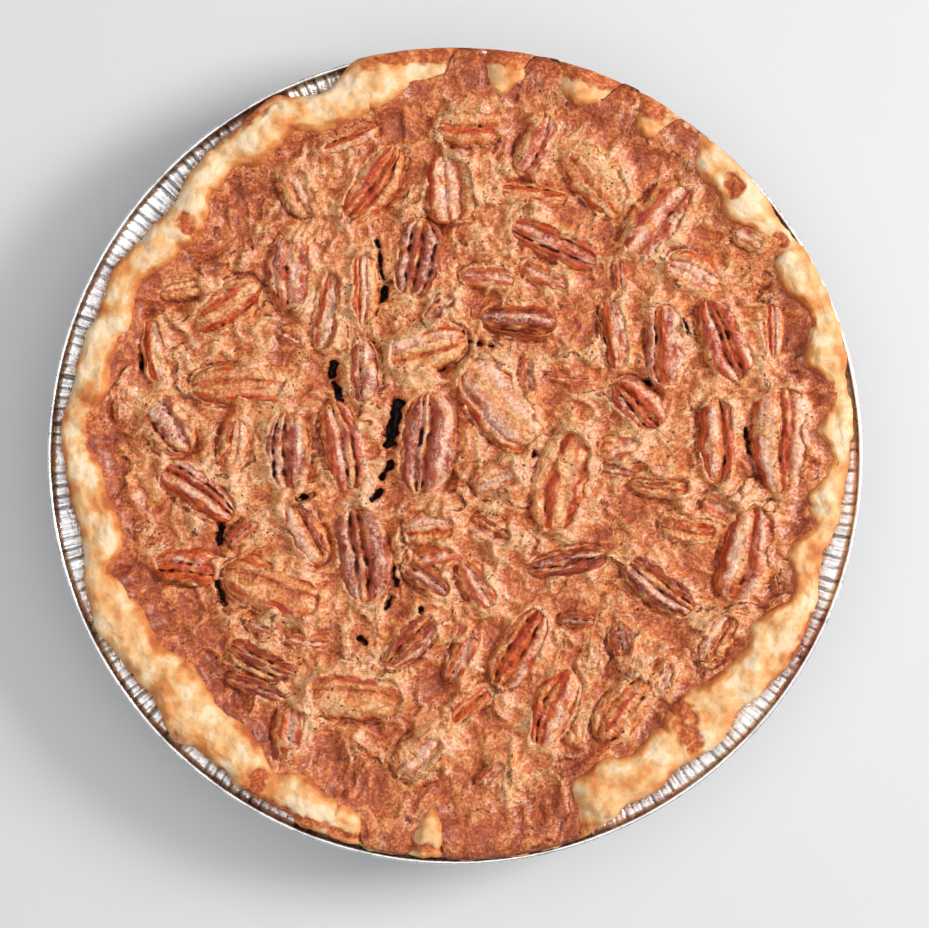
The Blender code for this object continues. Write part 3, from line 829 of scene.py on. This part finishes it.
def nut_grid(nut, seed, rows=NUT_ROWS, top=NUT_TOP, under=NUT_UNDER):
    """Points of a nut and its masks, with each point's place along and across it."""
    rng = np.random.default_rng(seed)
    far = 13.0 * seed
    even = np.linspace(-0.985, 0.985, rows)[:, None]
    t = 0.65 * even + 0.35 * np.sin(even * np.pi / 2) * 0.985
    v = np.sin(np.linspace(-np.pi / 2, np.pi / 2, top))[None, :]
    t, v = np.broadcast_arrays(t, v)
    bent = v + (1 - v * v) * (0.09 * ripple(t * 1.8 + far, v * 0.8, 71) + 0.03 * ripple(t * 7 + far, v * 2, 72))
    bare, pale, hollow = nut_masks(nut, t, bent, far)
    height = nut_height(nut, t, v, bent, far)
    taper = rng.uniform(-0.16, 0.16)
    blunt = np.where(t > 0, rng.uniform(2.1, 4.4), rng.uniform(2.1, 4.4))
    half = 1.04 * nut["width"] / 2 * (1 - np.abs(t) ** blunt) ** 0.5 * (1 - taper * t)
    half = half * (1 + 0.17 * ripple(t * 2.4 + far, np.sign(v) * 3.0, 76) + 0.06 * ripple(t * 7 + far, v * 2.0, 78))
    tall = nut["high"] - nut["low"]
    base = nut["low"] + 0.34 * tall
    rise = base + (nut["high"] - base) * height
    bend = rng.uniform(-0.05, 0.05) * nut["length"] * (t * t - 0.4)
    along, across = t * nut["length"] / 2, v * half + bend
    low_band = 1 - ease(rise + 0.8 * ripple(t * 5 + far, v * 3, 86), FILLING_TOP + 0.4, FILLING_TOP + 2.0)
    bare = bare * (1 - 0.9 * low_band)
    pale = pale * (1 - 0.8 * low_band)
    belly_v = np.linspace(0.85, -0.85, under)[None, :]
    belly_along = np.repeat(along[:, :1], under, axis=1)
    belly_across = belly_v * half[:, :1] + bend[:, :1]
    belly_rise = np.full_like(belly_along, nut["low"] + 0.5)
    along, across = np.hstack([along, belly_along]), np.hstack([across, belly_across])
    rise = np.hstack([rise, belly_rise])
    spots = nut["middle"] + along[..., None] * nut["along"] + across[..., None] * nut["across"]
    belly = np.zeros_like(belly_along)
    tone = TONES[nut["tone"]]
    # painted light and shade: rib crests painted lighter, grooves and the low foot darker
    relief_shading = np.clip(2.2 * swell(bent, nut["grooves"] or [-0.2, 0.25]) - 1.3 - low_band, -1, 1)
    masks = {"bare": np.hstack([bare, belly]), "hollow": np.hstack([hollow, belly]),
             "relief_shading": np.hstack([relief_shading, belly]),
             "pale": np.hstack([pale, belly]), "deep": np.full_like(along, tone[0]),
             "grey": np.full_like(along, tone[1])}
    return np.dstack([spots, rise]), masks, along, across


# %% Material of the nuts
TONES = {"orange": (0.0, 0.0), "red": (0.25, 0.0), "dark": (0.85, 0.0), "grey": (0.55, 0.8)}   # deep, grey
MAHOGANY = srgb(100, 32, 17)
RED_SKIN = srgb(188, 58, 22)
ORANGE_SKIN = srgb(218, 98, 40)
GREY_BROWN = srgb(140, 84, 66)


def make_nut_material():
    """Froth where the nut is coated and stripy skin where it is bare. The stripes follow the nut's own
    length and width, which its UV map holds in centimetres, so they run from end to end. Pale bands of painted
    highlight lie over both, and painted shade darkens the slots in the grooves."""
    material, tree, shader = new_material("pecan_skin", 0.36, Coat_Roughness=0.24, Specular_IOR_Level=0.2)
    uv = put(tree, "ShaderNodeUVMap", uv_map="along_and_across").outputs["UV"]
    where = put(tree, "ShaderNodeTexCoord").outputs["Object"]
    long_ways = put(tree, "ShaderNodeMapping", {"Vector": uv, "Scale": (1.6, 6.0, 1.0)}).outputs["Vector"]
    stripes = noise(tree, long_ways, 1.0, detail=4.0, roughness=0.6)
    threads = noise(tree, long_ways, 2.4, detail=3.0, roughness=0.6)
    spots = noise(tree, where, 700.0, detail=4.0, roughness=0.7)
    coat = place_froth(tree, 0.0, read(tree, "relief_shading"), read(tree, "pale"), 0.0)
    skin = mix(tree, mask(tree, stripes, 0.40, 0.60), RED_SKIN, ORANGE_SKIN)
    deep = maths(tree, "MULTIPLY", read(tree, "deep"), mask(tree, stripes, 0.35, 0.65, 1.0, 0.45))
    skin = mix(tree, deep, skin, MAHOGANY)
    skin = mix(tree, mask(tree, threads, 0.36, 0.48, 0.5, 0.0), skin, MAHOGANY)
    greyish = maths(tree, "MULTIPLY", read(tree, "grey"), mask(tree, stripes, 0.44, 0.58, 0.0, 0.6))
    skin = mix(tree, greyish, skin, GREY_BROWN)
    colour = mix(tree, read(tree, "bare"), coat["Color"], skin)
    # painted highlight: pale bands of sheen where the nut's mask says, broken into spots
    painted_sheen = maths(tree, "MULTIPLY", read(tree, "pale"), mask(tree, spots, 0.44, 0.60, 0.0, 0.65))
    colour = mix(tree, painted_sheen, colour, PAINTED_SHEEN_WHITE)
    hollow = read(tree, "hollow")
    # painted shade: the slots in the grooves are darkened
    colour = mix(tree, mask(tree, hollow, 0.0, 0.5), colour, CREASE_SHADE)
    colour = mix(tree, mask(tree, hollow, 0.5, 1.0), colour, HOLE_SHADE)
    tree.links.new(colour, shader.inputs["Base Color"])
    tree.links.new(mask(tree, hollow, 0.0, 0.6, 0.42, 0.0), shader.inputs["Coat Weight"])
    height = maths(tree, "ADD", coat["Height"], maths(tree, "MULTIPLY", threads, 0.2))
    tree.links.new(bump(tree, height, 0.8, 0.0009), shader.inputs["Normal"])
    return material


nut_finish = make_nut_material()


def lay_uv(thing, along, across):
    """A UV map that holds each point's place along and across its nut, in centimetres."""
    values = np.stack([along.ravel(), across.ravel()], -1) / 10
    values = np.vstack([values, values[0], values[-1]])
    loops = np.empty(len(thing.data.loops), dtype=int)
    thing.data.loops.foreach_get("vertex_index", loops)
    layer = thing.data.uv_layers.new(name="along_and_across")
    layer.data.foreach_set("uv", values[loops].astype(np.float32).ravel())


def make_nut(nut, seed):
    """One nut, in place of its solid."""
    grid, masks, along, across = nut_grid(nut, seed)
    piece = closed_skin(nut["name"] + "_half", grid)
    for name, values in masks.items():
        paint(piece, name, values)
    lay_uv(piece, along + 37.0 * seed, across)
    piece.data.materials.append(nut_finish)
    finish_piece(piece, "pecan", nut["name"])


for seed, nut in enumerate(nuts):
    make_nut(nut, seed)

# %% [markdown]
# ## Broken nuts
# Between the halves lie chips and slivers. They are the same shape, smaller and with fewer rows, and there
# are enough of them that one joined mesh is easier to handle than a piece for each.

# %% The chips
CHIP_ROWS, CHIP_TOP, CHIP_UNDER = 44, 26, 4


def make_chips():
    """All the chips in one mesh."""
    points, faces, start = [], [], 0
    names = ("bare", "hollow", "relief_shading", "pale", "deep", "grey")
    values = {name: [] for name in names}
    places = []
    for number, chip in enumerate(chips):
        grid, masks, along, across = nut_grid(chip, 100 + number, CHIP_ROWS, CHIP_TOP, CHIP_UNDER)
        rows, columns = grid.shape[:2]
        index = start + np.arange(rows * columns).reshape(rows, columns)
        later = np.roll(index, -1, axis=1)
        quads = np.stack([index[:-1], later[:-1], later[1:], index[1:]], axis=-1).reshape(-1, 4)
        points.append(grid.reshape(-1, 3))
        faces += quads.tolist() + [index[0][::-1].tolist(), index[-1].tolist()]
        start += rows * columns
        for name in names:
            values[name].append(masks[name].ravel())
        places.append(np.stack([along.ravel() + 37.0 * number, across.ravel()], -1))
    piece = make_object("pecan_chips", np.vstack(points), faces)
    for name in names:
        paint(piece, name, np.concatenate(values[name]))
    loops = np.empty(len(piece.data.loops), dtype=int)
    piece.data.loops.foreach_get("vertex_index", loops)
    layer = piece.data.uv_layers.new(name="along_and_across")
    layer.data.foreach_set("uv", (np.vstack(places) / 10)[loops].astype(np.float32).ravel())
    piece.data.materials.append(nut_finish)
    finish_piece(piece, "pecan")


make_chips()

# %% [markdown]
# ## The crust
# The case is one body: floor, wall, and the thick rope of dough pinched round the rim. Only the rope needs
# many rows. Its section is a rounded arch between the inner and outer outline of the solid.

# %% Where syrup stained the edge
STAINS = [
    # first and last clock angle, nearest and furthest radius
    (-14, 31, 115.4, 121), (25, 32, 113.5, 121), (44, 47.5, 110.5, 117), (55, 58, 112, 117),
    (68.2, 70.4, 104, 113.5), (78, 80.4, 104, 112.5), (90.5, 93.5, 104, 108), (111, 123, 114, 119),
    (136.4, 139.4, 94, 106), (138.4, 141.8, 101, 112), (158, 216, 114, 116.6), (210, 213, 107, 118),
    (270, 277.5, 98, 109), (309.5, 312.5, 98, 108), (316, 333, 114.5, 118.4),
]


def stained(x, y):
    """How far inside a stain each spot is, in mm, less than 0 outside them all. Each is an oval between its
    clock angles and radii, and noise makes its edge ragged."""
    radius, clock = np.hypot(x, y), np.degrees(clock_of(x, y))
    inside = np.full(np.shape(x), -9.0)
    for first, last, near, far in STAINS:
        off_middle = (clock - (first + last) / 2 + 180) % 360 - 180
        half_width, half_depth = (last - first) / 2 * radius * TURN / 360, (far - near) / 2
        beside = off_middle * radius * TURN / 360 / half_width
        across = (radius - (near + far) / 2) / half_depth
        size = (np.abs(beside) ** OVALNESS + np.abs(across) ** OVALNESS) ** (1 / OVALNESS)
        inside = np.maximum(inside, (1 - size) * np.minimum(half_width, half_depth))
    return inside + 1.2 * layered(x / 3.5, y / 3.5, 131)


print(len(STAINS), "stains")


# %% The rope and the case under it
CRUST_COLUMNS = 880
ROPE_ROWS = 84
WALL_CORNERS = [(0.4, 0.5), (60.0, 0.5), (88.0, 0.5), (107.8, 25.6)]      # radius and height, underneath
FLOOR_CORNERS = [(84.8, 3.9), (60.0, 3.9), (0.4, 3.9)]                    # and on the inside


def crust_rope(clock, s):
    """Radius and height of the rope, from its outer foot, s = 0, over the top to where it dips under the
    filling, s = 1. The section is a flat-topped arch. Its crest sinks into a pinch where the filling bites
    outwards, and lumps swell it."""
    outer, inner, top = round_curve(outer_stations, clock), border(clock), round_curve(top_stations, clock)
    draped = reach(clock, *DRAPED, 6)
    outer = np.minimum(outer + 0.7 + 0.7 * layered(20 * np.sin(clock), 20 * np.cos(clock), 117), 119.5)
    outer = outer + (120.4 - outer) * draped
    pinch = ease(inner - (outer - 8.0), 0.0, 5.0)
    top = top - 1.7 * pinch * ease(top, 33.0, 36.0)
    top = top + (31.2 - top) * boiled(clock)
    over_rim = ease(outer, 115.8, 117.2)
    foot = 28.7 + (TIN_HEIGHT + 0.3 - 28.7) * over_rim - 1.2 * draped
    turn = np.pi * s
    arch = np.sin(turn) ** 0.5
    lean = np.sign(np.cos(turn)) * np.abs(np.cos(turn)) ** 0.8
    inner = inner - 1.6
    radius = (outer + inner) / 2 + (outer - inner) / 2 * lean
    inner_foot = 28.4
    height = foot + (inner_foot - foot) * s
    height = height + (top - 0.4 - height) * arch * (1 - 0.10 * s)
    x, y = radius * np.sin(clock), radius * np.cos(clock)
    height = height + arch * (0.9 * layered(x / 9, y / 9, 111) + 0.34 * layered(x / 3, y / 3, 112, 3))
    height = height - 0.7 * ease(stained(x, y), -0.5, 1.0) * arch
    radius = radius + 0.45 * ripple(x / 4 + height / 4, y / 4, 113) * arch
    return radius, np.minimum(height, 36.6)


def crust_grid():
    """Points of the case and its masks, from the middle of the underside out, over the rope and back in."""
    clock = np.linspace(0, TURN, CRUST_COLUMNS, endpoint=False)
    s = np.linspace(0, 1, ROPE_ROWS)[:, None]
    radius, height = crust_rope(clock[None, :], s)
    rope = np.stack([radius * np.sin(clock), radius * np.cos(clock), height], -1)
    outer, inner = round_curve(outer_stations, clock), border(clock)
    below = [ring(r, z, clock) for r, z in WALL_CORNERS]
    below.append(ring(np.minimum(outer - 1.2, 112.0), 28.1, clock))
    inside = [ring(np.minimum(inner - 0.8, 106.5), 25.8, clock)] + [ring(r, z, clock) for r, z in FLOOR_CORNERS]
    grid = np.concatenate([np.stack(below), rope, np.stack(inside)])
    x, y = rope[..., 0], rope[..., 1]
    toasted = 0.30 + 0.7 * layered(x / 10, y / 10, 114) + 0.40 * (1 - ease(s, 0.10, 0.42))
    toasted += 0.75 * (1 - ease(radius - inner + 1.2 * layered(x / 4, y / 4, 115), -0.6, 2.0))
    toasted += 0.25 * ease(35.0 - height, 0.0, 3.0)
    padding = [np.full((len(part), CRUST_COLUMNS), 0.6) for part in (below, inside)]
    toasted = np.clip(toasted, 0, 1.3)
    stain = stained(x, y)
    return grid, {"toasted": np.concatenate([padding[0], toasted, padding[1]]),
                  "stain": np.concatenate([padding[0] - 9, stain, padding[1] - 9])}


# %% Material of the crust
CREAM = srgb(245, 215, 176)
BISCUIT = srgb(236, 184, 125)
TOASTED = srgb(222, 142, 78)
BROWNED = srgb(184, 96, 48)


def make_crust_material():
    """Cream to biscuit to toasted brown by the mask and soft noise, with a fine crumb."""
    material, tree, shader = new_material("baked_pastry", 0.62, Specular_IOR_Level=0.3)
    where = put(tree, "ShaderNodeTexCoord").outputs["Object"]
    blotches = noise(tree, where, 140.0, detail=4.0, roughness=0.55)
    crumb = noise(tree, where, 900.0, detail=3.0)
    baked = maths(tree, "ADD", read(tree, "toasted"), mask(tree, blotches, 0.3, 0.7, -0.5, 0.5))
    colour = mix(tree, mask(tree, baked, -0.1, 0.45), CREAM, BISCUIT)
    colour = mix(tree, mask(tree, baked, 0.45, 1.0), colour, TOASTED)
    colour = mix(tree, mask(tree, baked, 1.0, 1.6), colour, BROWNED)
    colour = mix(tree, mask(tree, crumb, 0.55, 0.72, 0.0, 0.3), colour, TOASTED)
    syrup = place_froth(tree, 1.0, 0.1, 0.0, 0.0)
    colour = mix(tree, mask(tree, read(tree, "stain"), -0.7, 0.8), colour, syrup["Color"])
    tree.links.new(colour, shader.inputs["Base Color"])
    height = maths(tree, "ADD", blotches, maths(tree, "MULTIPLY", crumb, 0.35))
    tree.links.new(bump(tree, height, 0.7, 0.0010), shader.inputs["Normal"])
    return material


crust_points, crust_masks = crust_grid()
crust = closed_skin("pastry_case", crust_points)
for mask_name, mask_values in crust_masks.items():
    paint(crust, mask_name, mask_values)
crust.data.materials.append(make_crust_material())
finish_piece(crust, "pastry", "crust")

# %% [markdown]
# ## The tin
# Foil pans are pressed from a flat sheet, so the wall puckers into pleats, and the cut edge is curled into a
# bead. The profile goes round once, with the pleats as a shift of the wall in and out.

# %% The foil tin
TIN_COLUMNS = 1500
PLEATS = 230
FOIL = 0.2
BEAD = 0.65            # radius of the curled edge's section
WALL_TOP = (110.8, 26.8)
LEDGE_TOP = (118.2, 28.4)


def tin_grid():
    """Points of the tin: a profile from under the floor, up the wall, out along the ledge, round the bead
    and back down inside, carried round once. Pleats push it out along its own normal by a wave whose widths
    and depths are uneven, strongest on the ledge. That push is given too, for the material."""
    clock = np.linspace(0, TURN, TIN_COLUMNS, endpoint=False)[None, :]
    curl = np.radians(np.linspace(-115, 215, 16))[:, None]
    climb, run = np.linspace(0, 1, 12)[:, None], np.linspace(0, 1, 10)[1:-1, None]
    wall = np.hstack([FLOOR_RADIUS + (WALL_TOP[0] - FLOOR_RADIUS) * climb, WALL_TOP[1] * climb])
    ledge = np.hstack([WALL_TOP[0] + (LEDGE_TOP[0] - WALL_TOP[0]) * run,
                       WALL_TOP[1] + (LEDGE_TOP[1] - WALL_TOP[1]) * run])
    bead = np.hstack([RIM_RADIUS - BEAD + BEAD * np.cos(curl), TIN_HEIGHT - BEAD + BEAD * np.sin(curl)])
    floor = np.array([[0.5, 0.0], [40.0, 0.0], [75.0, 0.0]])
    up = np.vstack([floor, wall, ledge])
    profile = np.vstack([up, bead, up[::-1] + (-FOIL, FOIL)])
    rise = np.vstack([0 * floor[:, :1], 0.9 * ease(climb, 0.0, 0.5), 0.9 + 0.3 * ease(run, 0.0, 0.5)])
    pleated = np.vstack([rise, 0.10 + 0 * curl, rise[::-1]])
    level = np.vstack([0 * floor[:, :1], 0.6 * climb ** 4, 0.6 + 0.35 * run])
    level = np.vstack([level, 0.5 + 0 * curl, level[::-1]])
    x, y = np.sin(clock), np.cos(clock)
    phase = PLEATS * clock + 2.6 * ripple(9 * x, 9 * y, 121) + 1.2 * ripple(31 * x, 31 * y, 124)
    slant = 0.5 * (profile[:, :1] - 110) * 0.12
    wave = np.sin(phase + slant + 1.3 * np.sin(phase + slant))
    depth = 0.42 + 0.26 * ripple(23 * x, 23 * y, 122) + 0.16 * ripple(61 * x, 61 * y, 125)
    shift = pleated * wave * depth
    radius = profile[:, :1] + shift * (1 - level)
    height = profile[:, 1:] + shift * level + 0.12 * layered(5 * x, 5 * y, 123) * ease(profile[:, 1:], 20, 29)
    return np.stack([radius * x, radius * y, np.maximum(height, 0.0)], -1), shift


BRIGHT_FOIL = srgb(249, 249, 249)
# painted shade for the folds of the pleats
FOIL_FOLD_SHADE = srgb(132, 132, 135)


def make_foil_material():
    """Bright metal whose roughness and relief come from fine creasing, and painted darker in the folds of the
    pleats, where the foil mirrors nothing but itself: painted shade standing in for those dim reflections. Some
    folds are deeper than others."""
    material, tree, shader = new_material("crinkled_foil", 0.3, Metallic=1.0)
    where = put(tree, "ShaderNodeTexCoord").outputs["Object"]
    crease = noise(tree, where, 420.0, detail=3.0, distortion=0.8)
    uneven = mask(tree, noise(tree, where, 130.0), 0.36, 0.62, 0.16, -0.22)
    depth = maths(tree, "ADD", read(tree, "fold"), uneven)
    # painted shade: the folds are painted darker grey
    fold_shade_share = mask(tree, depth, -0.46, -0.04, 0.9, 0.0)
    tree.links.new(mix(tree, fold_shade_share, BRIGHT_FOIL, FOIL_FOLD_SHADE), shader.inputs["Base Color"])
    tree.links.new(mask(tree, crease, 0.3, 0.7, 0.22, 0.42), shader.inputs["Roughness"])
    tree.links.new(bump(tree, crease, 0.5, 0.0005), shader.inputs["Normal"])
    return material


tin_points, tin_folds = tin_grid()
tin = closed_skin("foil_pan", tin_points)
paint(tin, "fold", tin_folds)
tin.data.materials.append(make_foil_material())
finish_piece(tin, "foil", "tin")

# %% [markdown]
# ## Table, light and camera
# A pale table, one broad soft light from the right and a little from the top, and light from all round to
# fill the shadows. The camera looks straight down.

# %% Table
def make_table():
    """A wide flat square at height 0."""
    material, _, shader = new_material("pale_table", 0.6)
    shader.inputs["Base Color"].default_value = srgb(218, 218, 219)
    half = 4000.0
    spots = np.array([[-half, -half, 0], [half, -half, 0], [half, half, 0], [-half, half, 0]])
    mesh = bpy.data.meshes.new("table")
    mesh.from_pydata((spots * MM).tolist(), [], [(0, 1, 2, 3)])
    mesh.materials.append(material)
    table = bpy.data.objects.new("table", mesh)
    bpy.context.scene.collection.objects.link(table)


make_table()


# %% Lights
def make_light(name, place, size, power, colour):
    """A square area light that faces the middle of the pie."""
    lamp = bpy.data.lights.new(name, "AREA")
    lamp.energy, lamp.size, lamp.color = power, size, colour
    light = bpy.data.objects.new(name, lamp)
    light.location = place
    light.rotation_euler = (-light.location).to_track_quat("-Z", "Y").to_euler()
    bpy.context.scene.collection.objects.link(light)


make_light("window", (1.25, 0.30, 0.95), 0.55, 20.0, (1.0, 0.98, 0.96))
make_light("ceiling", (0.0, 0.0, 1.5), 2.4, 17.0, (0.99, 0.99, 1.0))
world = bpy.data.worlds.new("room")
bpy.context.scene.world = world
world.use_nodes = True
world.node_tree.nodes["Background"].inputs["Color"].default_value = (0.98, 0.99, 1.0, 1.0)
world.node_tree.nodes["Background"].inputs["Strength"].default_value = 0.26
bpy.context.scene.view_settings.view_transform = "Standard"
print("lights ready")

# %% Camera
CAMERA_HEIGHT = 1.2
VIEW_WIDTH = 0.2732    # width of the view at the height of the rim
camera_data = bpy.data.cameras.new("camera")
camera_data.sensor_width = 36.0
camera_data.lens = 36.0 * (CAMERA_HEIGHT - TIN_HEIGHT * MM) / VIEW_WIDTH
camera = bpy.data.objects.new("camera", camera_data)
camera.location = (0.0028, -0.0021, CAMERA_HEIGHT)
bpy.context.scene.collection.objects.link(camera)
bpy.context.scene.camera = camera
print("camera", camera_data.lens)
